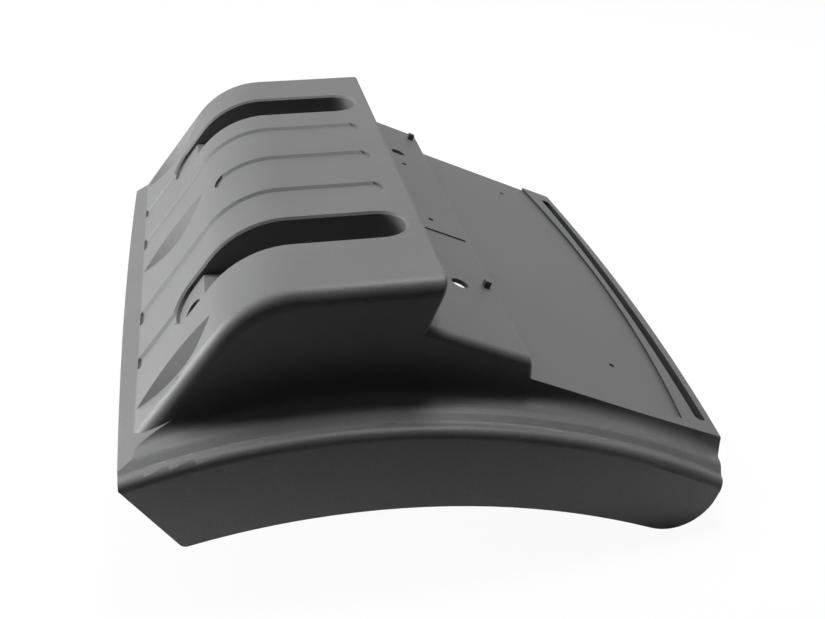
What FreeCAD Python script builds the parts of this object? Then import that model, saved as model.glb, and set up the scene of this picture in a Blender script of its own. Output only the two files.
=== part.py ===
import FreeCAD, Part
import Sketcher
import math
import os

# Truck mudguard: the top section of a wheel arch, moulded in one piece.
# The solid is an outer form less the same form set in by the wall, so every face keeps the wall.
# Working axes: X along the truck, Y from the outer side wall to the inner one, Z up.
# Zero is the box's right-hand top edge on the outer side wall, until the finished shell is moved
# so that its own origin lies midway between the two fixing holes, on the face of the shelf.

SIZES = {
    # the whole moulding
    "width": 530, "wall": 4, "base_depth": 300,
    # tall box over the wheel: flat top, big bend, long slope, small flange at the foot
    "top_length": 154, "bend_radius": 87, "slope_angle": 51, "slope_drop": 114,
    "flange_angle": 28, "foot_radius": 6, "box_edge_radius": 13, "box_rim_radius": 3, "wall_lean": 24,
    # shelf beside the box, step, and sloping deck
    "deck_angle": 24.3, "shelf_drop": 47, "shelf_reach": 66, "shelf_edge_radius": 8,
    "step_edge_radius": 4, "step_height": 19.5, "deck_edge_radius": 2.5,
    # raised rim at the low end of the deck, with its gutter
    "rim_raise": 2.7, "rim_start": 202, "rim_bow": 22,
    "gutter_start": 219, "gutter_width": 9.5, "gutter_bow": 12, "gutter_depth": 11, "gutter_margin": 21,
    # ends seen from above
    "end_reach": 235, "end_bow": 14, "end_setback": 13.5, "left_reach": 259, "left_bow": 4,
    # ledge and skirt round the outer side
    "ledge_centre_x": -88, "ledge_centre_z": -706, "ledge_radius": 613, "ledge_drop": 5,
    "ledge_flat": 23, "ledge_ramp": 11, "ledge_lip": 12, "cove_radius": 14, "roll_radius": 8,
    "skirt_flare": 4,
    # lower edge of both side walls
    "arch_centre_x": -82, "arch_centre_z": -772, "arch_radius": 605,
    "cut_top_drop": 124, "cut_run": 41, "cut_fall": 55, "cut_radius": 6, "cut_top_radius": 13,
    "heel_reach": 222, "heel_drop": 173, "heel_step": 18, "heel_lean": 18, "heel_round": 0.77,
    # ribs pressed into the box: three shallow grooves between two deep slots
    "slot_near": 113, "slot_far": 99, "groove_width": 26, "groove_depth": 2.4, "groove_draft": 3,
    "groove_start": 23, "short_groove_reach": 170, "slot_width": 50, "slot_depth": 46, "slot_start": 16,
    "run_width": 20, "pocket_depth": 5, "pocket_drop": 72, "slot_edge": 2,
    # scoops in the slope
    "scoop_near": 52, "scoop_offset": 26, "scoop_far": 11, "scoop_length": 102, "scoop_depth": 9,
    "scoop_width": 36, "scoop_back": 10, "scoop_mid_drop": 73,
    # fixing holes, small holes, pegs and pad
    "fixing_x": 31, "fixing_pitch": 320, "fixing_middle": 272, "fixing_radius": 8,
    "pin_hole_radius": 2.8, "deck_hole_x": 164, "deck_hole_near": 83, "deck_hole_far": 47,
    "shelf_hole_near": 246, "shelf_hole_far": 136, "scoop_hole_y": 21, "scoop_hole_drop": 73,
    "pocket_hole_radius": 10, "pocket_hole_drop": 56, "pocket_hole_offset": 12,
    "peg_side": 6, "peg_height": 6, "peg_x": 57, "peg_near": 124, "peg_far": 26,
    "pad_near": 220, "pad_far": 107, "pad_reach": 60, "pad_height": 1.2,
}

doc = FreeCAD.newDocument("mudguard")
sheet = doc.addObject("Spreadsheet::Sheet", "Sizes")
for row, (alias, size) in enumerate(SIZES.items(), start=1):
    sheet.set("A%d" % row, alias)
    sheet.set("B%d" % row, str(size))
    sheet.setAlias("B%d" % row, alias)
doc.recompute()

# Distances that only reach past the solid, so that a cut or a join runs clean through.
CLEAR = 40
EDGE_TOLERANCE = 0.01


def number(expression):
    """The value that an expression on the sheet has now."""
    return float(sheet.evalExpression(expression))


def bind(target, path, expression):
    """Tie one property of an object to the sheet."""
    target.setExpression(path, expression)


def plane_of(body, role):
    return next(f for f in body.Origin.OriginFeatures if f.Role == role)


def sketch_on(body, name, role, offset="0"):
    """A sketch on one of the body's own planes, moved along the plane's normal."""
    sketch = body.newObject("Sketcher::SketchObject", name)
    sketch.AttachmentSupport = (plane_of(body, role), [""])
    sketch.MapMode = "FlatFace"
    bind(sketch, "AttachmentOffset.Base.z", offset)
    return sketch


def fix_point(sketch, geometry, vertex, across, up):
    """Hold one point of a sketch at two distances from its axes, both tied to the sheet."""
    for kind, expression in (("DistanceX", across), ("DistanceY", up)):
        index = sketch.addConstraint(
            Sketcher.Constraint(kind, -1, 1, geometry, vertex, number(expression)))
        bind(sketch, "Constraints[%d]" % index, expression)


def outline(sketch, corners):
    """A closed outline of straight sides. Each corner is (across, up) or (across, up, radius)."""
    vector = FreeCAD.Vector
    spots = [vector(number(c[0]), number(c[1]), 0) for c in corners]
    count = len(corners)
    trims = []
    for i, corner in enumerate(corners):
        if len(corner) == 2:
            trims.append((spots[i], spots[i]))
            continue
        back = (spots[i - 1] - spots[i]).normalize()
        ahead = (spots[(i + 1) % count] - spots[i]).normalize()
        radius = number(corner[2])
        reach = radius / abs(FreeCAD.Vector(back - ahead).Length / (back + ahead).Length)
        trims.append((spots[i] + back * reach, spots[i] + ahead * reach))
    lines = []
    for i in range(count):
        start = trims[i][1]
        end = trims[(i + 1) % count][0]
        lines.append(sketch.addGeometry(Part.LineSegment(start, end), False))
    for i, corner in enumerate(corners):
        before, after = lines[i - 1], lines[i]
        if len(corner) == 2:
            sketch.addConstraint(Sketcher.Constraint("Coincident", before, 2, after, 1))
            fix_point(sketch, after, 1, corner[0], corner[1])
            continue
        mark = sketch.addGeometry(Part.Point(spots[i]), True)
        fix_point(sketch, mark, 1, corner[0], corner[1])
        middle = (trims[i][0] + trims[i][1]) * 0.5
        inward = (middle - spots[i]).normalize()
        half = (trims[i][0] - middle).Length
        radius = number(corner[2])
        centre = spots[i] + inward * ((middle - spots[i]).Length + (radius ** 2 - half ** 2) ** 0.5)
        crown = centre - inward * radius
        arc = sketch.addGeometry(Part.Arc(trims[i][0], crown, trims[i][1]), False)
        # an arc always runs anticlockwise, so its ends may be the other way round
        first = 1 if sketch.getPoint(arc, 1).distanceToPoint(trims[i][0]) < EDGE_TOLERANCE else 2
        sketch.addConstraint(Sketcher.Constraint("Tangent", before, 2, arc, first))
        sketch.addConstraint(Sketcher.Constraint("Tangent", after, 1, arc, 3 - first))
        index = sketch.addConstraint(Sketcher.Constraint("Radius", arc, radius))
        bind(sketch, "Constraints[%d]" % index, corner[2])
        sketch.addConstraint(Sketcher.Constraint("PointOnObject", mark, 1, before))
        sketch.addConstraint(Sketcher.Constraint("PointOnObject", mark, 1, after))


def pad(body, sketch, length):
    """Push a sketch on the side plane towards the inner wall."""
    feature = body.newObject("PartDesign::Pad", body.Name + "_pad")
    feature.Profile = sketch
    feature.Reversed = True
    bind(feature, "Length", length)
    doc.recompute()
    return feature


def round_edges(body, base, wanted, radius, kind="Fillet"):
    """Round, or bevel, every edge of a feature that the test picks."""
    names = ["Edge%d" % (i + 1) for i, edge in enumerate(base.Shape.Edges) if wanted(edge)]
    feature = body.newObject("PartDesign::" + kind, body.Name + "_round%d" % len(body.Group))
    feature.Base = (base, names)
    bind(feature, "Radius" if kind == "Fillet" else "Size", radius)
    doc.recompute()
    return feature


def cut_across(body, base, sketch):
    """Cut a side outline away, right across the moulding."""
    feature = body.newObject("PartDesign::Pocket", sketch.Name + "_cut")
    feature.Profile = sketch
    bind(feature, "Length", "Sizes.width + %d" % (CLEAR * 6))
    doc.recompute()
    if feature.Shape.Volume > base.Shape.Volume - 1:
        raise RuntimeError("%s cuts nothing" % sketch.Name)
    return feature


def middle_of(edge):
    return edge.valueAt((edge.FirstParameter + edge.LastParameter) / 2)


def side_block(name, inset, corners):
    """A body whose side outline runs from the outer side wall to the inner one."""
    body = doc.addObject("PartDesign::Body", name)
    sketch = sketch_on(body, name + "_side", "XZ_Plane", "-(%s)" % inset)
    outline(sketch, corners)
    return body, pad(body, sketch, "Sizes.width - 2 * (%s)" % inset)


def on_side_walls(inset, low, left, right):
    """Picks the edges that lie in either side wall, above a height and between two ends."""
    front = number(inset)
    back = number("Sizes.width") - front

    def wanted(edge):
        p = middle_of(edge)
        flat = all(abs(v.Y - p.y) < EDGE_TOLERANCE for v in edge.Vertexes)
        beside = min(abs(p.y - front), abs(p.y - back)) < EDGE_TOLERANCE
        return flat and beside and p.z > low and left < p.x < right
    return wanted


# Places on the side outline that several pieces share
FOOT_X = "(-Sizes.top_length - Sizes.slope_drop / tan(Sizes.slope_angle))"
DECK_RISE = "tan(Sizes.deck_angle)"


def shelf_height(x):
    return "(-Sizes.shelf_drop - (%s) * %s)" % (x, DECK_RISE)


def deck_height(x):
    return "(-Sizes.shelf_drop - Sizes.step_height - (%s) * %s)" % (x, DECK_RISE)


def box_top(inset):
    """Corners of the box's outer line, set in: flange end, foot of the slope, bend, far right."""
    reach = "(%d)" % (CLEAR * 2)
    share = "((%s) / (1 + cos(Sizes.slope_angle - Sizes.flange_angle)))" % inset
    foot_x = "(%s + %s * (sin(Sizes.slope_angle) + sin(Sizes.flange_angle)))" % (FOOT_X, share)
    foot_z = "(-Sizes.slope_drop - %s * (cos(Sizes.slope_angle) + cos(Sizes.flange_angle)))" % share
    bend_x = "(-Sizes.top_length + (%s) * tan(Sizes.slope_angle / 2))" % inset
    return [
        ("%s - %s" % (foot_x, reach), "%s - %s * tan(Sizes.flange_angle)" % (foot_z, reach)),
        (foot_x, foot_z, "Sizes.foot_radius + (%s)" % inset),
        (bend_x, "-(%s)" % inset, "Sizes.bend_radius - (%s)" % inset),
        ("%d" % CLEAR, "-(%s)" % inset),
    ]


def box_block(name, inset):
    """Tall box with the bend and the slope, and a right-hand wall that leans in at its foot."""
    top = box_top(inset)
    corners = top + [("%d" % CLEAR, "-Sizes.base_depth"), (top[0][0], "-Sizes.base_depth")]
    body, block = side_block(name, inset, corners)
    ends = on_side_walls(inset, number(top[0][1]) - 1, number(top[0][0]) + 1, CLEAR - 1)
    rounded = round_edges(body, block, ends, "Sizes.box_edge_radius - (%s)" % inset)
    lean = "tan(Sizes.wall_lean)"
    shift = "((%s) / cos(Sizes.wall_lean))" % inset
    sketch = sketch_on(body, name + "_lean", "XZ_Plane", "%d" % CLEAR)
    outline(sketch, [
        ("%d * %s - %s" % (CLEAR, lean, shift), "%d" % CLEAR),
        ("%d" % (CLEAR * 2), "%d" % CLEAR),
        ("%d" % (CLEAR * 2), "-Sizes.base_depth - %d" % CLEAR),
        ("-(Sizes.base_depth + %d) * %s - %s" % (CLEAR, lean, shift), "-Sizes.base_depth - %d" % CLEAR),
    ])
    return body, cut_across(body, rounded, sketch)


outer_box, box_cut = box_block("outer_box", "0")


def on_leaning_rim(edge):
    """The edge that the leaning wall makes with the top and with both side roundings."""
    lean = number("tan(Sizes.wall_lean)")
    on_wall = all(abs(v.X - v.Z * lean) < EDGE_TOLERANCE for v in edge.Vertexes)
    p = middle_of(edge)
    return on_wall and abs(p.x - p.z * lean) < 0.5 and p.z > -number("Sizes.base_depth") + 1


round_edges(outer_box, box_cut, on_leaning_rim, "Sizes.box_rim_radius")
inner_box, _ = box_block("inner_box", "Sizes.wall")


def shelf_block(name, inset):
    """Shelf beside the box: its face slopes with the deck and ends at the step."""
    left = "-Sizes.shelf_reach"
    right = "(Sizes.shelf_reach + %d)" % CLEAR
    down = "((%s) / cos(Sizes.deck_angle))" % inset
    body, block = side_block(name, inset, [
        (left, "%s - %s" % (shelf_height(left), down)),
        (right, "%s - %s" % (shelf_height(right), down)),
        (right, "-Sizes.base_depth"),
        ("-Sizes.base_depth * tan(Sizes.wall_lean) - %d" % CLEAR, "-Sizes.base_depth"),
    ])
    ends = on_side_walls(inset, -number("Sizes.base_depth") + 1, number(left) + 1, number(right) - 1)
    rounded = round_edges(body, block, ends, "Sizes.shelf_edge_radius - (%s)" % inset)
    step = "(Sizes.shelf_reach - (%s))" % inset
    sketch = sketch_on(body, name + "_step", "XZ_Plane", "%d" % CLEAR)
    outline(sketch, [
        (step, "%d" % CLEAR), ("%s + %d" % (right, CLEAR), "%d" % CLEAR),
        ("%s + %d" % (right, CLEAR), "-Sizes.base_depth - %d" % CLEAR),
        (step, "-Sizes.base_depth - %d" % CLEAR),
    ])
    return body, cut_across(body, rounded, sketch)


def deck_block(name, inset):
    """Sloping deck, run past the low end: the plan outline trims it."""
    left = "0"
    right = "(Sizes.end_reach + Sizes.end_bow + %d)" % CLEAR
    down = "((%s) / cos(Sizes.deck_angle))" % inset
    body, block = side_block(name, inset, [
        (left, "%s - %s" % (deck_height(left), down)),
        (right, "%s - %s" % (deck_height(right), down)),
        (right, "-Sizes.base_depth"),
        (left, "-Sizes.base_depth"),
    ])
    return body, block


def rim_block(name, inset):
    """Raised rim: a strip parallel to the deck whose inner edge bows in plan."""
    left = "(Sizes.rim_start - %d)" % CLEAR
    right = "(Sizes.end_reach + Sizes.end_bow + %d)" % CLEAR
    lift = "((Sizes.rim_raise - (%s)) / cos(Sizes.deck_angle))" % inset
    body, block = side_block(name, inset, [
        (left, "%s + %s" % (deck_height(left), lift)),
        (right, "%s + %s" % (deck_height(right), lift)),
        (right, "-Sizes.base_depth"),
        (left, "-Sizes.base_depth"),
    ])
    sketch = sketch_on(body, name + "_bow", "XY_Plane", "-Sizes.base_depth - %d" % CLEAR)
    bowed_strip(sketch, "Sizes.rim_start + (%s)" % inset, "Sizes.rim_bow", left + " - %d" % CLEAR,
                "-%d" % CLEAR, "Sizes.width + %d" % CLEAR, 1)
    cut = body.newObject("PartDesign::Pocket", name + "_bow_cut")
    cut.Profile = sketch
    cut.Reversed = True
    bind(cut, "Length", "Sizes.base_depth + %d" % (CLEAR * 2))
    doc.recompute()
    return body, cut


def bow_radius(bow, near, far):
    """Radius of an arc that stands out by bow over the chord from near to far."""
    return "(((%s) - (%s)) ^ 2 / (8 * (%s)) + (%s) / 2)" % (far, near, bow, bow)


def bowed_strip(sketch, edge, bow, straight, near, far, side):
    """A strip in plan with one side bowed, towards +X or -X by the sign of side, and one straight.

    The bow is measured over the width of the moulding and carried on past both side walls."""
    radius = bow_radius(bow, "0", "Sizes.width")
    crown = "(%s + %d * %s)" % (edge, side, bow)
    half = "(Sizes.width / 2)"

    def on_arc(y):
        return "(%s - %d * (%s - sqrt(%s ^ 2 - (%s - %s) ^ 2)))" % (crown, side, radius, radius, y, half)
    start = FreeCAD.Vector(number(on_arc(near)), number(near), 0)
    end = FreeCAD.Vector(number(on_arc(far)), number(far), 0)
    top = FreeCAD.Vector(number(crown), number(half), 0)
    a = FreeCAD.Vector(number(straight), number(near), 0)
    b = FreeCAD.Vector(number(straight), number(far), 0)
    arc = sketch.addGeometry(Part.Arc(start, top, end), False)
    lines = [sketch.addGeometry(Part.LineSegment(p, q), False) for p, q in ((end, b), (b, a), (a, start))]
    join = Sketcher.Constraint
    # an arc always runs anticlockwise, so one bowed towards -X starts at its far end
    first = 1 if side > 0 else 2
    sketch.addConstraint(join("Coincident", arc, 3 - first, lines[0], 1))
    sketch.addConstraint(join("Coincident", lines[0], 2, lines[1], 1))
    sketch.addConstraint(join("Coincident", lines[1], 2, lines[2], 1))
    sketch.addConstraint(join("Coincident", lines[2], 2, arc, first))
    fix_point(sketch, arc, first, on_arc(near), near)
    fix_point(sketch, arc, 3 - first, on_arc(far), far)
    fix_point(sketch, lines[1], 1, straight, far)
    fix_point(sketch, lines[1], 2, straight, near)
    index = sketch.addConstraint(join("Radius", arc, number(radius)))
    bind(sketch, "Constraints[%d]" % index, radius)


outer_shelf, shelf_cut = shelf_block("outer_shelf", "0")


def on_step_rim(edge):
    """The edge along the top of the step, round both side roundings."""
    reach = number("Sizes.shelf_reach")
    return all(abs(v.X - reach) < EDGE_TOLERANCE for v in edge.Vertexes) \
        and middle_of(edge).z > -number("Sizes.base_depth") + 1


round_edges(outer_shelf, shelf_cut, on_step_rim, "Sizes.step_edge_radius")
inner_shelf, _ = shelf_block("inner_shelf", "Sizes.wall")
outer_deck, deck_pad = deck_block("outer_deck", "0")
round_edges(outer_deck, deck_pad, on_side_walls("0", -number("Sizes.base_depth") + 1, 1,
            number("Sizes.end_reach + Sizes.end_bow + %d" % CLEAR) - 1), "Sizes.deck_edge_radius")
inner_deck, _ = deck_block("inner_deck", "Sizes.wall")
outer_rim, _ = rim_block("outer_rim", "0")
inner_rim, _ = rim_block("inner_rim", "Sizes.wall")


def ledge_block(name, inset, hollow):
    """Ledge and skirt: a section turned about an axis that lies across the truck."""
    body = doc.addObject("PartDesign::Body", name)
    sketch = sketch_on(body, name + "_section", "YZ_Plane", "Sizes.ledge_centre_x")
    crest = "(Sizes.ledge_centre_z + Sizes.ledge_radius - (%s))" % inset
    low = "(Sizes.ledge_centre_z + Sizes.arch_radius - %d)" % (CLEAR * 2)
    shelf = "(-Sizes.ledge_flat)"
    ramp = "(%s - Sizes.ledge_ramp)" % shelf
    face = "(%s - Sizes.ledge_lip + (%s))" % (ramp, inset)
    flare = "(%s - Sizes.skirt_flare)" % face
    back = "(Sizes.wall + %d)" % CLEAR if hollow else "Sizes.box_edge_radius"
    corners = [
        (shelf, crest, "Sizes.roll_radius * 2"),
        (ramp, "%s - Sizes.ledge_drop" % crest, "Sizes.roll_radius"),
        (face, "%s - Sizes.ledge_drop" % crest, "Sizes.roll_radius - (%s)" % inset),
        (flare, low),
        (back, low),
    ]
    if hollow:
        corners.append((back, crest))
    else:
        corners.append((back, "%s + Sizes.cove_radius * 2" % crest))
        corners.append(("0", "%s + Sizes.cove_radius * 2" % crest))
        corners.append(("0", crest, "Sizes.cove_radius"))
    outline(sketch, corners)
    axis = sketch.addGeometry(Part.LineSegment(
        FreeCAD.Vector(0, number("Sizes.ledge_centre_z"), 0),
        FreeCAD.Vector(CLEAR, number("Sizes.ledge_centre_z"), 0)), True)
    fix_point(sketch, axis, 1, "0", "Sizes.ledge_centre_z")
    fix_point(sketch, axis, 2, "%d" % CLEAR, "Sizes.ledge_centre_z")
    turn = body.newObject("PartDesign::Revolution", name + "_turn")
    turn.Profile = sketch
    turn.ReferenceAxis = (sketch, ["Axis0"])
    turn.Angle = LEDGE_TURN
    turn.Midplane = True
    doc.recompute()
    return body


# The ledge is turned well past both ends, which the side outline trims.
LEDGE_TURN = 90
outer_ledge = ledge_block("outer_ledge", "0", False)
inner_ledge = ledge_block("inner_ledge", "Sizes.wall", True)


def under_top(name, inset):
    """Everything below the slope and the deck, in front of the outer side wall."""
    body = doc.addObject("PartDesign::Body", name)
    sketch = sketch_on(body, name + "_side", "XZ_Plane", "%d" % (CLEAR * 3))
    lowered = "(Sizes.box_edge_radius + (%s))" % inset
    flange = ["(%s)" % spot for spot in box_top(inset)[0]]
    foot = ["(%s)" % spot for spot in box_top(lowered)[1][:2]]
    bend = box_top(lowered)[2]
    rise = "tan(Sizes.flange_angle)"
    meet = "((%s - %s + %s * %s - %s * tan(Sizes.slope_angle)) / (%s - tan(Sizes.slope_angle)))" % (
        foot[1], flange[1], flange[0], rise, foot[0], rise)
    lift = "((Sizes.rim_raise - (%s)) / cos(Sizes.deck_angle))" % inset
    right = "(Sizes.end_reach + Sizes.end_bow + %d)" % CLEAR
    outline(sketch, [flange, (meet, "%s + (%s - %s) * %s" % (flange[1], meet, flange[0], rise)),
                     (bend[0], bend[1]), ("0", "-" + lowered),
                     ("0", "%s + %s" % (deck_height("0"), lift)),
                     (right, "%s + %s" % (deck_height(right), lift)),
                     (right, "-Sizes.base_depth"), (flange[0], "-Sizes.base_depth")])
    pad(body, sketch, "%d" % (CLEAR * 5))
    return body


outer_under = under_top("outer_under", "0")
inner_under = under_top("inner_under", "Sizes.wall")


def join(name, kind, pieces):
    """One boolean of the document over several pieces."""
    feature = doc.addObject(kind, name)
    feature.Shapes = pieces
    doc.recompute()
    return feature


def take(name, base, tool):
    feature = doc.addObject("Part::Cut", name)
    feature.Base = base
    feature.Tool = tool
    doc.recompute()
    return feature


outer_skirt = join("outer_skirt", "Part::MultiCommon", [outer_ledge, outer_under])
inner_skirt = join("inner_skirt", "Part::MultiCommon", [inner_ledge, inner_under])


def side_envelope():
    """Side outline of both skirts: slanted cut at the left, arch below, round heel at the right."""
    body = doc.addObject("PartDesign::Body", "side_envelope")
    sketch = sketch_on(body, "envelope_side", "XZ_Plane", "%d" % (CLEAR * 3))
    left = "(-Sizes.left_reach - Sizes.left_bow - %d)" % CLEAR
    right = "(Sizes.end_reach + Sizes.end_bow + %d)" % CLEAR
    cut_x = "(-Sizes.left_reach)"
    slant = "(Sizes.cut_run / Sizes.cut_fall)"
    lean = "tan(Sizes.heel_lean)"
    fall = "(Sizes.base_depth - Sizes.cut_top_drop)"
    heel_fall = "(Sizes.base_depth - Sizes.heel_drop)"
    outline(sketch, [
        (left, "%d" % CLEAR), (left, "-Sizes.cut_top_drop"),
        (cut_x, "-Sizes.cut_top_drop", "Sizes.cut_top_radius"),
        ("%s + %s * %s" % (cut_x, slant, fall), "-Sizes.base_depth"),
        ("Sizes.heel_reach - %s * %s" % (heel_fall, lean), "-Sizes.base_depth"),
        ("Sizes.heel_reach - Sizes.heel_step * %s" % lean, "-Sizes.heel_drop - Sizes.heel_step"),
        (right, "-Sizes.heel_drop - Sizes.heel_step"), (right, "%d" % CLEAR),
    ])
    block = pad(body, sketch, "Sizes.width + %d" % (CLEAR * 4))
    arch = sketch_on(body, "envelope_arch", "XZ_Plane", "%d" % (CLEAR * 4))
    ring = arch.addGeometry(Part.Circle(FreeCAD.Vector(
        number("Sizes.arch_centre_x"), number("Sizes.arch_centre_z"), 0), FreeCAD.Vector(0, 0, 1),
        number("Sizes.arch_radius")), False)
    fix_point(arch, ring, 3, "Sizes.arch_centre_x", "Sizes.arch_centre_z")
    index = arch.addConstraint(Sketcher.Constraint("Radius", ring, number("Sizes.arch_radius")))
    bind(arch, "Constraints[%d]" % index, "Sizes.arch_radius")
    opened = cut_across(body, block, arch)
    ring_x, ring_z = number("Sizes.arch_centre_x"), number("Sizes.arch_centre_z")
    radius = number("Sizes.arch_radius")

    def corner(side):
        def wanted(edge):
            p = middle_of(edge)
            across = all(abs(v.X - p.x) < EDGE_TOLERANCE and abs(v.Z - p.z) < EDGE_TOLERANCE
                         for v in edge.Vertexes)
            on_ring = abs(((p.x - ring_x) ** 2 + (p.z - ring_z) ** 2) ** 0.5 - radius) < EDGE_TOLERANCE
            return across and on_ring and (p.x - ring_x) * side > 0
        return wanted
    toe = round_edges(body, opened, corner(-1), "Sizes.cut_radius")
    heel_x = "(Sizes.heel_reach - Sizes.heel_step * %s)" % lean
    under = "(Sizes.arch_centre_z + sqrt(Sizes.arch_radius ^ 2 - (%s - Sizes.arch_centre_x) ^ 2))" % heel_x
    round_edges(body, toe, corner(1), "Sizes.heel_round * (-Sizes.heel_drop - Sizes.heel_step - %s)" % under)
    return body


envelope = side_envelope()


def plan_trim(name, edge, bow, side, straight):
    """What lies past one bowed end of the moulding, seen from above."""
    body = doc.addObject("PartDesign::Body", name)
    sketch = sketch_on(body, name + "_plan", "XY_Plane", "-Sizes.base_depth - %d" % CLEAR)
    bowed_strip(sketch, edge, bow, straight, "-%d" % (CLEAR * 3), "Sizes.width + %d" % CLEAR, side)
    stand(body, sketch)
    return body


def stand(body, sketch):
    """Raise a plan outline from below the moulding to above it."""
    feature = body.newObject("PartDesign::Pad", body.Name + "_pad")
    feature.Profile = sketch
    bind(feature, "Length", "Sizes.base_depth + %d" % (CLEAR * 2))
    doc.recompute()
    return feature


right_trim = plan_trim("right_trim", "Sizes.end_reach", "Sizes.end_bow", 1,
                       "Sizes.end_reach + Sizes.end_bow + %d" % (CLEAR * 2))
left_trim = plan_trim("left_trim", "-Sizes.left_reach", "Sizes.left_bow", -1,
                      "-Sizes.left_reach - Sizes.left_bow - %d" % (CLEAR * 3))

# The end of the ledge and skirt leans with the heel and is set back from the end of the deck.
setback_trim = doc.addObject("PartDesign::Body", "setback_trim")
setback_side = sketch_on(setback_trim, "setback_side", "XZ_Plane")
HEEL_LEAN = "tan(Sizes.heel_lean)"
LEDGE_DEPTH = "(Sizes.ledge_flat + Sizes.ledge_ramp + Sizes.ledge_lip + Sizes.skirt_flare)"
AIR_X = "(Sizes.end_reach + %d)" % (CLEAR * 3)
outline(setback_side, [
    ("Sizes.end_reach + (Sizes.heel_drop + %d) * %s" % (CLEAR, HEEL_LEAN), "%d" % CLEAR),
    (AIR_X, "%d" % CLEAR), (AIR_X, "-Sizes.base_depth"),
    ("Sizes.end_reach - (Sizes.base_depth - Sizes.heel_drop) * %s" % HEEL_LEAN, "-Sizes.base_depth"),
])
setback_pad = setback_trim.newObject("PartDesign::Pad", "setback_pad")
setback_pad.Profile = setback_side
setback_pad.UseCustomVector = True
setback_pad.Direction = FreeCAD.Vector(-1, -2, 0)
bind(setback_pad, "Direction.x", "-Sizes.end_setback")
bind(setback_pad, "Direction.y", "-" + LEDGE_DEPTH)
setback_pad.AlongSketchNormal = True
bind(setback_pad, "Length", "2 * " + LEDGE_DEPTH)
doc.recompute()

blocks = join("outer_blocks", "Part::MultiFuse",
              [outer_box, outer_shelf, outer_deck, outer_rim, outer_skirt])
kept = join("outer_kept", "Part::MultiCommon", [blocks, envelope])
trims = join("end_trims", "Part::MultiFuse", [right_trim, left_trim, setback_trim])
outer = take("outer_form", kept, trims)
core = join("core_blocks", "Part::MultiFuse",
            [inner_box, inner_shelf, inner_deck, inner_rim, inner_skirt])


def slope_point(drop, along, out):
    """A point by the slope: its fall from the top, then distances down the slope and out of it."""
    across = "(-Sizes.top_length - (%s) / tan(Sizes.slope_angle) - (%s) * cos(Sizes.slope_angle)" \
        " - (%s) * sin(Sizes.slope_angle))" % (drop, along, out)
    up = "(-(%s) - (%s) * sin(Sizes.slope_angle) + (%s) * cos(Sizes.slope_angle))" % (drop, along, out)
    return across, up


def strip_tool(name, inset, middle, width, corners):
    """A recess of one width: its side outline, pushed across the rib."""
    body = doc.addObject("PartDesign::Body", name)
    half = "((%s) / 2 + (%s))" % (width, inset)
    sketch = sketch_on(body, name + "_side", "XZ_Plane", "-((%s) - %s)" % (middle, half))
    outline(sketch, corners)
    return body, pad(body, sketch, "2 * %s" % half)


def end_edges(x, z, lean):
    """Picks the straight edges at an end face, by a point of the face and its lean from upright."""
    normal = FreeCAD.Vector(math.cos(lean), 0, math.sin(lean))
    face = FreeCAD.Vector(x, 0, z)

    def wanted(edge):
        on_face = all(abs((v.Point - FreeCAD.Vector(0, v.Y, 0) - face).dot(normal)) < EDGE_TOLERANCE
                      for v in edge.Vertexes)
        p, q = edge.Vertexes[0].Point, edge.Vertexes[-1].Point
        return on_face and abs(p.y - q.y) < EDGE_TOLERANCE
    return wanted


# A round end is a touch less than half the width, so that a short flat is left between its corners.
ROUND_SHARE = 0.96


def round_end(body, base, width, inset, point, lean):
    radius = "((%s) / 2 + (%s)) * %s" % (width, inset, ROUND_SHARE)
    return round_edges(body, base, end_edges(number(point[0]), number(point[1]), lean), radius)


def skin_height(point):
    """How far a point stands out of the box's flat top, bend or slope."""
    radius, angle = number("Sizes.bend_radius"), math.radians(number("Sizes.slope_angle"))
    x = point.x + number("Sizes.top_length") - radius * math.tan(angle / 2)
    z = point.z + radius
    turned = math.atan2(-x, z)
    if x >= 0:
        return point.z
    if turned <= angle:
        return math.hypot(x, z) - radius
    return z * math.cos(angle) - x * math.sin(angle) - radius


def on_rim(middle, width, clear):
    """Picks the edges of one slot that lie in the box's skin, off a clear strip along its middle."""
    half, inner = number(width) / 2 + EDGE_TOLERANCE, number(clear) / 2 + EDGE_TOLERANCE

    def wanted(edge):
        first, last = edge.FirstParameter, edge.LastParameter
        spots = [edge.valueAt(first + share * (last - first)) for share in (0.05, 0.35, 0.65, 0.95)]
        return all(inner < abs(p.y - number(middle)) < half and abs(skin_height(p)) < EDGE_TOLERANCE
                   for p in spots)
    return wanted


# The drafted sides of a groove run on past the skin by this share, so that they come out of it cleanly.
DRAFT_RUN = 1.4
# A groove's plan outline stands this far outside its rims.
RIM_CLEAR = 1


def flank(body, corners, start, side):
    """One drafted side of a groove: its outline draws in by the groove's depth over the draft."""
    sketch = sketch_on(body, "%s_flank" % body.Name, "XZ_Plane", "-(%s)" % start)
    outline(sketch, corners)
    feature = pad(body, sketch, "Sizes.groove_draft * %s" % DRAFT_RUN)
    feature.Reversed = side > 0
    bind(feature, "TaperAngle", "-atan(Sizes.groove_depth / Sizes.groove_draft)")
    doc.recompute()


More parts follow.
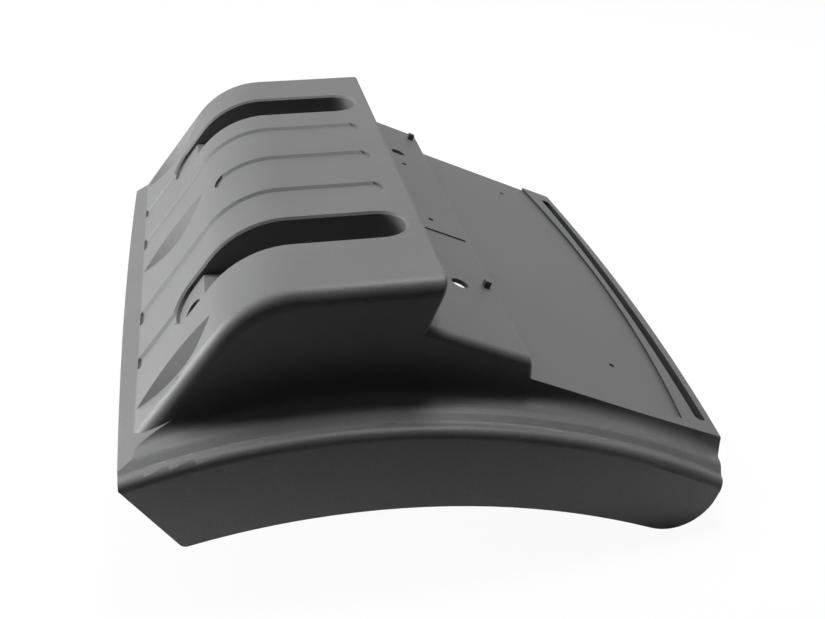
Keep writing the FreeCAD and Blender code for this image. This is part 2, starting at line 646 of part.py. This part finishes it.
def groove_tool(name, inset, middle, width, left):
    """Shallow groove over the flat top, round the bend and down the slope, round at its right-hand end.
    On the outside its sides are drafted."""
    depth = "(Sizes.groove_depth + (%s))" % inset
    bend_x = "(-Sizes.top_length + %s * tan(Sizes.slope_angle / 2))" % depth
    air_x = "(-Sizes.top_length - %d * tan(Sizes.slope_angle / 2))" % CLEAR
    tip = "(-Sizes.groove_start + (%s))" % inset
    past = "(%s + %d)" % (tip, CLEAR)
    corners = [
        slope_point("Sizes.slope_drop", inset, "-" + depth),
        (bend_x, "-" + depth, "Sizes.bend_radius - " + depth), (past, "-" + depth),
        (past, "%d" % CLEAR), (air_x, "%d" % CLEAR),
        slope_point("Sizes.slope_drop", inset, "%d" % CLEAR),
    ]
    spread = "-Sizes.groove_draft" if inset == "0" else inset
    run = strip_tool(name + "_run", spread, middle, width, corners)[0]
    if inset == "0":
        for side in (-1, 1):
            flank(run, corners, "(%s) + %d * ((%s) / 2 - Sizes.groove_draft)" % (middle, side, width), side)
    plan = doc.addObject("PartDesign::Body", name + "_plan")
    sketch = sketch_on(plan, name + "_outline", "XY_Plane", "-Sizes.base_depth - %d" % CLEAR)
    half = "((%s) / 2 + (%s) + %d)" % (width, inset, RIM_CLEAR)
    near, far = "((%s) - %s)" % (middle, half), "((%s) + %s)" % (middle, half)
    rounding = "%s * %s" % (half, ROUND_SHARE)
    end = "(%s - (%s))" % (left, inset)
    outline(sketch, [(end, near, rounding), (tip, near, rounding),
                     (tip, far, rounding), (end, far, rounding)])
    stand(plan, sketch)
    return join(name, "Part::MultiCommon", [run, plan])


def slot_tool(name, inset, middle):
    """Deep slot with a level floor, round at its right-hand end and open on the slope."""
    tip = "(-Sizes.slot_start + (%s))" % inset
    floor = "(-Sizes.slot_depth - (%s))" % inset
    left = "(%s - %d)" % (FOOT_X, CLEAR)
    body, block = strip_tool(name, inset, middle, "Sizes.slot_width", [
        (tip, "%d" % CLEAR), (left, "%d" % CLEAR), (left, floor), (tip, floor)])
    round_end(body, block, "Sizes.slot_width", inset, (tip, "0"), 0)
    return body


def pocket_tool(name, inset, middle):
    """Pocket in the slope below a deep slot."""
    depth = "(Sizes.pocket_depth + (%s))" % inset
    start = "(Sizes.slot_depth - Sizes.pocket_depth)"
    low = slope_point("Sizes.pocket_drop", inset, "-" + depth)
    body, block = strip_tool(name, inset, middle, "Sizes.slot_width", [
        slope_point(start, "0", "-" + depth), slope_point(start, "0", "%d" % CLEAR),
        slope_point("Sizes.pocket_drop", inset, "%d" % CLEAR), low])
    lean = math.radians(number("Sizes.slope_angle"))
    round_end(body, block, "Sizes.slot_width", inset, low, lean)
    return body


def scoop_cone(name, inset, near, far, near_y, length):
    """One side of a scoop: part of a cone whose axis lies across the truck."""
    cone = doc.addObject("Part::Cone", name)
    radius = "((Sizes.scoop_length ^ 2 / 4 + Sizes.scoop_depth ^ 2) / (2 * Sizes.scoop_depth))"
    centre = slope_point("Sizes.scoop_mid_drop", "0", "(%s - Sizes.scoop_depth)" % radius)
    bind(cone, "Radius1", "%s - %s + (%s)" % (radius, near, inset))
    bind(cone, "Radius2", "%s - %s + (%s)" % (radius, far, inset))
    bind(cone, "Height", length)
    turn_about(cone, FreeCAD.Vector(1, 0, 0), "-90")
    place(cone, centre[0], near_y, centre[1])
    return cone


def scoop_tool(name, inset, edge):
    """Scoop: its floor falls slowly from the near side and rises quickly to the far edge."""
    crease = "(%s - Sizes.scoop_back)" % edge
    slow = scoop_cone(name + "_slow", inset, "Sizes.scoop_depth", "0", "%s - Sizes.scoop_width" % crease,
                      "Sizes.scoop_width")
    quick = scoop_cone(name + "_quick", inset, "0", "Sizes.scoop_depth", crease, "Sizes.scoop_back")
    return join(name, "Part::MultiFuse", [slow, quick])


def place(piece, x, y, z):
    for axis, expression in (("x", x), ("y", y), ("z", z)):
        bind(piece, "Placement.Base." + axis, expression)


def turn_about(piece, axis, angle):
    piece.Placement = FreeCAD.Placement(FreeCAD.Vector(), FreeCAD.Rotation(axis, number(angle)))
    bind(piece, "Placement.Rotation.Angle", "(%s) * 1 deg" % angle)


def bowed_slot(sketch, left, right, bow, near, far):
    """A strip in plan between two like arcs that bow towards +X, with square ends."""
    radius = bow_radius(bow, "0", "Sizes.width")
    half = "(Sizes.width / 2)"

    def on_arc(edge, y):
        return "(%s + %s - %s + sqrt(%s ^ 2 - (%s - %s) ^ 2))" % (edge, bow, radius, radius, y, half)
    arcs = []
    for edge in (left, right):
        points = [FreeCAD.Vector(number(on_arc(edge, y)), number(y), 0) for y in (near, half, far)]
        arcs.append(sketch.addGeometry(Part.Arc(*points), False))
        fix_point(sketch, arcs[-1], 1, on_arc(edge, near), near)
        fix_point(sketch, arcs[-1], 2, on_arc(edge, far), far)
        index = sketch.addConstraint(Sketcher.Constraint("Radius", arcs[-1], number(radius)))
        bind(sketch, "Constraints[%d]" % index, radius)
    for end in (1, 2):
        start, stop = sketch.getPoint(arcs[0], end), sketch.getPoint(arcs[1], end)
        line = sketch.addGeometry(Part.LineSegment(start, stop))
        sketch.addConstraint(Sketcher.Constraint("Coincident", arcs[0], end, line, 1))
        sketch.addConstraint(Sketcher.Constraint("Coincident", arcs[1], end, line, 2))


def upright(edge):
    p, q = edge.Vertexes[0].Point, edge.Vertexes[-1].Point
    return abs(p.x - q.x) + abs(p.y - q.y) < EDGE_TOLERANCE


def gutter_tool(name, inset):
    """Long gutter in the rim, bowed with the end of the deck and round at both its ends."""
    plan = doc.addObject("PartDesign::Body", name + "_plan")
    sketch = sketch_on(plan, name + "_outline", "XY_Plane", "-Sizes.base_depth - %d" % CLEAR)
    bowed_slot(sketch, "Sizes.gutter_start - (%s)" % inset,
               "Sizes.gutter_start + Sizes.gutter_width + (%s)" % inset,
               "Sizes.gutter_bow", "Sizes.gutter_margin - (%s)" % inset,
               "Sizes.width - Sizes.gutter_margin + (%s)" % inset)
    rounding = "(Sizes.gutter_width / 2 + (%s)) * %s" % (inset, ROUND_SHARE)
    round_edges(plan, stand(plan, sketch), upright, rounding)
    above = doc.addObject("PartDesign::Body", name + "_above")
    side = sketch_on(above, name + "_side", "XZ_Plane", "%d" % CLEAR)
    lift = "((Sizes.rim_raise - Sizes.gutter_depth - (%s)) / cos(Sizes.deck_angle))" % inset
    left = "(Sizes.gutter_start - %d)" % CLEAR
    right = "(Sizes.gutter_start + Sizes.gutter_width + Sizes.gutter_bow + %d)" % CLEAR
    outline(side, [(left, "%s + %s" % (deck_height(left), lift)),
                   (right, "%s + %s" % (deck_height(right), lift)),
                   (right, "%d" % CLEAR), (left, "%d" % CLEAR)])
    pad(above, side, "Sizes.width + %d" % (CLEAR * 2))
    return join(name, "Part::MultiCommon", [plan, above])


def rib_place(steps):
    """The middle of a rib: the outermost lie a size in from each wall, the others evenly between."""
    return "(Sizes.slot_near + (Sizes.width - Sizes.slot_far - Sizes.slot_near) * %s)" % ((steps + 2) / 4)


def across(name, side):
    """A place across the moulding: in from the outer wall on the near side, from the inner on the far."""
    return "Sizes.%s_near" % name if side == "near" else "(Sizes.width - Sizes.%s_far)" % name


def recesses(label, inset):
    """Every recess of the moulding, with the wall added all round for the inner form."""
    foot = "(-Sizes.left_reach - %d)" % CLEAR
    tools = [gutter_tool(label + "_gutter", inset)]
    tools.append(groove_tool(label + "_short_groove", inset, rib_place(0), "Sizes.groove_width",
                             "-Sizes.short_groove_reach"))
    for side, steps in (("near", -1), ("far", 1)):
        tools.append(groove_tool("%s_%s_groove" % (label, side), inset, rib_place(steps),
                                 "Sizes.groove_width", foot))
        deep = rib_place(2 * steps)
        tools.append(groove_tool("%s_%s_track" % (label, side), inset, deep, "Sizes.run_width", foot))
        tools.append(slot_tool("%s_%s_slot" % (label, side), inset, deep))
        tools.append(pocket_tool("%s_%s_pocket" % (label, side), inset, deep))
        tools.append(scoop_tool("%s_%s_scoop" % (label, side), inset, across("scoop", side)))
    tools.append(scoop_tool(label + "_middle_scoop", inset, "(%s + Sizes.scoop_offset)" % rib_place(0)))
    return join(label + "_recesses", "Part::MultiFuse", tools)


outer_cut = take("outer_cut", outer, recesses("outer", "0"))
soft_outer = doc.addObject("PartDesign::Body", "soft_outer")
soft_outer.BaseFeature = outer_cut
doc.recompute()
soft = soft_outer.Tip
for steps in (-2, 2):
    soft = round_edges(soft_outer, soft, on_rim(rib_place(steps), "Sizes.slot_width", "Sizes.run_width"),
                       "Sizes.slot_edge", "Chamfer")
core_kept = take("core_kept", core, recesses("backing", "Sizes.wall"))
shell = take("shell", soft_outer, core_kept)


def deck_drill(name, radius, x, y, z):
    """A hole square to the shelf and the deck."""
    drill = doc.addObject("Part::Cylinder", name)
    bind(drill, "Radius", radius)
    drill.Height = CLEAR
    turn_about(drill, FreeCAD.Vector(0, 1, 0), "Sizes.deck_angle")
    place(drill, "%s - %d * sin(Sizes.deck_angle)" % (x, CLEAR // 2), y,
          "%s - %d * cos(Sizes.deck_angle)" % (z, CLEAR // 2))
    return drill


def slope_drill(name, radius, drop, y):
    """A hole square to the slope."""
    drill = doc.addObject("Part::Cylinder", name)
    bind(drill, "Radius", radius)
    drill.Height = CLEAR
    turn_about(drill, FreeCAD.Vector(0, 1, 0), "-Sizes.slope_angle")
    spot = slope_point(drop, "0", "%d" % (-CLEAR // 2))
    place(drill, spot[0], y, spot[1])
    return drill


drills = []
for side, sign in (("near", "-"), ("far", "+")):
    y = "Sizes.fixing_middle %s Sizes.fixing_pitch / 2" % sign
    drills.append(deck_drill(side + "_fixing_hole", "Sizes.fixing_radius", "Sizes.fixing_x", y,
                             shelf_height("Sizes.fixing_x")))
    drills.append(deck_drill(side + "_deck_hole", "Sizes.pin_hole_radius", "Sizes.deck_hole_x",
                             across("deck_hole", side), deck_height("Sizes.deck_hole_x")))
    drills.append(deck_drill(side + "_shelf_hole", "Sizes.pin_hole_radius", "Sizes.fixing_x",
                             across("shelf_hole", side), shelf_height("Sizes.fixing_x")))
drills.append(slope_drill("scoop_hole", "Sizes.pin_hole_radius", "Sizes.scoop_hole_drop",
                          "Sizes.scoop_hole_y"))
drills.append(slope_drill("pocket_hole", "Sizes.pocket_hole_radius", "Sizes.pocket_hole_drop",
                          "%s - Sizes.pocket_hole_offset" % rib_place(-2)))


def shelf_plate(name, start, length, near, depth, height):
    """A square-edged plate moulded on the shelf, sunk halfway into the wall."""
    plate = doc.addObject("Part::Box", name)
    bind(plate, "Length", length)
    bind(plate, "Width", depth)
    bind(plate, "Height", "Sizes.wall / 2 + (%s)" % height)
    turn_about(plate, FreeCAD.Vector(0, 1, 0), "Sizes.deck_angle")
    place(plate, "%s - Sizes.wall / 2 * sin(Sizes.deck_angle)" % start, near,
          "%s - Sizes.wall / 2 * cos(Sizes.deck_angle)" % shelf_height(start))
    return plate


raised = [shelf_plate("shelf_pad", "0", "Sizes.pad_reach / cos(Sizes.deck_angle)", "Sizes.pad_near",
                      "%s - Sizes.pad_near" % across("pad", "far"), "Sizes.pad_height")]
for side in ("near", "far"):
    raised.append(shelf_plate(side + "_peg", "(Sizes.peg_x - Sizes.peg_side / 2)", "Sizes.peg_side",
                              "%s - Sizes.peg_side / 2" % across("peg", side), "Sizes.peg_side",
                              "Sizes.peg_height"))

whole = join("shell_with_pegs", "Part::MultiFuse", [shell] + raised)
mudguard = take("mudguard_shell", whole, join("all_holes", "Part::MultiFuse", drills))
mudguard.Label = "mudguard_shell"
place(mudguard, "-Sizes.fixing_x", "-Sizes.fixing_middle", "-%s" % shelf_height("Sizes.fixing_x"))
doc.recompute()

# Nothing is written unless every object is sound and the moulding is one solid.
for item in doc.Objects:
    if "Invalid" in item.State or "Error" in item.State:
        raise RuntimeError("%s failed: %s" % (item.Name, item.State))
shape = mudguard.Shape
if shape.isNull() or not shape.isValid() or len(shape.Solids) != 1:
    raise RuntimeError("the shell is not one sound solid")
os.makedirs("parts", exist_ok=True)
shape.exportStep("parts/%s.step" % mudguard.Label)
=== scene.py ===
import math
import bpy
import numpy as np
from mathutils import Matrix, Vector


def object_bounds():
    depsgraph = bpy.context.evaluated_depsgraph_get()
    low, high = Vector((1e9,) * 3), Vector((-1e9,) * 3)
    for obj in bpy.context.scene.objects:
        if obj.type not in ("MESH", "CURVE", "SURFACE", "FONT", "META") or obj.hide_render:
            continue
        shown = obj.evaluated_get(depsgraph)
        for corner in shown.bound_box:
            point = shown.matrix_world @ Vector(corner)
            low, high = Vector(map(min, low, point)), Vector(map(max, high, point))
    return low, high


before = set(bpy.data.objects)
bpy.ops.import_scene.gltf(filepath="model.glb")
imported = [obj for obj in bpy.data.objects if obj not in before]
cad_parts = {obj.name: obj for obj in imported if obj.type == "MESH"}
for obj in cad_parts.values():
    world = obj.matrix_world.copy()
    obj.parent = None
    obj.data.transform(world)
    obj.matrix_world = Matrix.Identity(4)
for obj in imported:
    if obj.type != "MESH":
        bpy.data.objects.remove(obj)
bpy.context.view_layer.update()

# Moulded shell
# The whole mudguard is one shell of dark grey plastic, injection moulded. The tool leaves a fine grain on
# its outside, and the grey clouds a little where the melt flowed.
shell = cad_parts["mudguard_shell"]


class Field:
    """A shader socket that takes part in sums: each operator adds one Math node."""

    def __init__(self, tree, socket):
        self.tree = tree
        self.socket = socket

    def node(self, kind, settings=None, output=0, **inputs):
        """Adds a node: its settings, then values or links of its sockets, by name or as i and a number."""
        made = self.tree.nodes.new("ShaderNode" + kind)
        for key, value in (settings or {}).items():
            setattr(made, key, value)
        for key, value in inputs.items():
            socket = made.inputs[int(key[1:]) if key[1:].isdigit() else key.replace("_", " ")]
            if isinstance(value, Field):
                self.tree.links.new(value.socket, socket)
            else:
                socket.default_value = value
        return Field(self.tree, made.outputs[output])

    def sum_of(self, operation, first, second):
        """One Math node: first (operation) second."""
        return self.node("Math", {"operation": operation}, i0=first, i1=second)

    def __add__(self, other):
        return self.sum_of("ADD", self, other)

    def __radd__(self, other):
        return self.sum_of("ADD", other, self)

    def __rsub__(self, other):
        return self.sum_of("SUBTRACT", other, self)

    def __mul__(self, other):
        return self.sum_of("MULTIPLY", self, other)

    def __rmul__(self, other):
        return self.sum_of("MULTIPLY", other, self)


def grained_plastic():
    """Dark grey plastic: tone = mix of two greys by 0.4 cloud + 0.6 grain;
    roughness = 0.42 + 0.12 cloud + 0.10 grain; height = grain."""
    material = bpy.data.materials.new("grained_plastic")
    material.use_nodes = True
    tree = material.node_tree
    shader = tree.nodes["Principled BSDF"]
    place = Field(tree, tree.nodes.new("ShaderNodeTexCoord").outputs["Object"])
    cloud = place.node("TexNoise", {"noise_dimensions": "3D"}, Vector=place, Scale=9.0, Detail=3.0,
                       Roughness=0.55)
    grain = place.node("TexNoise", {"noise_dimensions": "3D"}, Vector=place, Scale=650.0, Detail=3.0,
                       Roughness=0.65)
    dark = (0.048, 0.049, 0.051, 1)
    light = (0.148, 0.149, 0.151, 1)
    tone = place.node("Mix", {"data_type": "RGBA"}, 2, i0=0.4 * cloud + 0.6 * grain, i6=dark, i7=light)
    tree.links.new(tone.socket, shader.inputs["Base Color"])
    rough = 0.42 + 0.12 * cloud + 0.10 * grain
    tree.links.new(rough.socket, shader.inputs["Roughness"])
    bump = place.node("Bump", None, 0, Strength=0.5, Distance=0.0004, Height=grain)
    tree.links.new(bump.socket, shader.inputs["Normal"])
    return material


shell.data.materials.clear()
shell.data.materials.append(grained_plastic())

# Floor
# A plain pale floor that the skirt's lowest point stands on. It throws light back on the lower skirt,
# as the table in the photograph does.
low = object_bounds()[0][2]
floor_mesh = bpy.data.meshes.new("floor")
reach = 6
corners = [(-reach, -reach, low), (reach, -reach, low), (reach, reach, low), (-reach, reach, low)]
floor_mesh.from_pydata(corners, [], [(0, 1, 2, 3)])
floor = bpy.data.objects.new("floor", floor_mesh)
bpy.context.scene.collection.objects.link(floor)


def pale_floor():
    """White to the camera; for other rays bright by the object and dim in front of it:
    albedo = smooth step of Y, 0.05 at -0.51 to 0.95 at -0.41."""
    material = bpy.data.materials.new("pale_floor")
    material.use_nodes = True
    tree = material.node_tree
    shader = tree.nodes["Principled BSDF"]
    shader.inputs["Roughness"].default_value = 0.9
    place = Field(tree, tree.nodes.new("ShaderNodeTexCoord").outputs["Object"])
    depth = place.node("SeparateXYZ", None, 1, Vector=place)
    bright = place.node("MapRange", {"interpolation_type": "SMOOTHSTEP"}, 0, Value=depth, From_Min=-0.51,
                        From_Max=-0.41, To_Min=0.05, To_Max=0.95)
    tree.links.new(bright.socket, shader.inputs["Base Color"])
    rays = tree.nodes.new("ShaderNodeLightPath")
    seen = Field(tree, rays.outputs["Is Camera Ray"])
    glow = seen.node("Emission", None, 0, Color=(1, 1, 1, 1), Strength=1.0)
    mixed = seen.node("MixShader", None, 0, i0=seen * 0.94, i1=Field(tree, shader.outputs[0]), i2=glow)
    tree.links.new(mixed.socket, tree.nodes["Material Output"].inputs["Surface"])
    return material


floor_mesh.materials.append(pale_floor())

# Studio light
# A white room behind the object and a dim one in front of it, with three soft lamps: one high at the back
# left, one low at the left that lights the slope, and one overhead.
scene = bpy.context.scene
world = bpy.data.worlds.new("studio")
scene.world = world
world.use_nodes = True
sky = world.node_tree
way = Field(sky, sky.nodes.new("ShaderNodeTexCoord").outputs["Generated"])
parts = way.node("SeparateXYZ", None, 1, Vector=way)
back = way.node("MapRange", {"interpolation_type": "SMOOTHSTEP"}, 0, Value=parts, From_Min=-0.4, From_Max=0.6,
                To_Min=0.02, To_Max=0.75)
rays = sky.nodes.new("ShaderNodeLightPath")
seen = Field(sky, rays.outputs["Is Camera Ray"])
strength = seen + (1 - seen) * back
backdrop = sky.nodes["Background"]
backdrop.inputs["Color"].default_value = (1, 1, 1, 1)
sky.links.new(strength.socket, backdrop.inputs["Strength"])


def soft_lamp(name, place, target, size, power):
    """A square area lamp: tilt = angle of the aim from straight down, turn = its bearing."""
    lamp = bpy.data.lights.new(name, "AREA")
    lamp.size = size
    lamp.energy = power
    piece = bpy.data.objects.new(name, lamp)
    piece.location = place
    aim = np.subtract(target, place)
    tilt = math.atan2(math.hypot(aim[0], aim[1]), -aim[2])
    piece.rotation_euler = (tilt, 0, math.atan2(aim[0], -aim[1]) + math.pi)
    scene.collection.objects.link(piece)
    return piece


soft_lamp("key_lamp", (-1.3, 0.9, 1.5), (0, 0, 0), 1.2, 14)
soft_lamp("left_lamp", (-1.86, 0.38, 0.40), (0, 0, 0), 0.5, 42)
soft_lamp("top_lamp", (0.30, 0.40, 1.8), (0, 0, 0), 0.6, 29)

# Camera
# The photograph's own view: from the outer side, a little to the left, looking down on the box.
# The lens is fitted to the outline of the moulding.
camera = bpy.data.cameras.new("camera")
camera.sensor_width = 36
camera.lens = 50.4
view = bpy.data.objects.new("camera", camera)
view.location = (-0.1973, -1.0229, 0.4531)
view.rotation_euler = (math.radians(90 - 28.44), 0, math.radians(-10.23))
scene.collection.objects.link(view)
scene.camera = view

scene.view_settings.view_transform = "Standard"
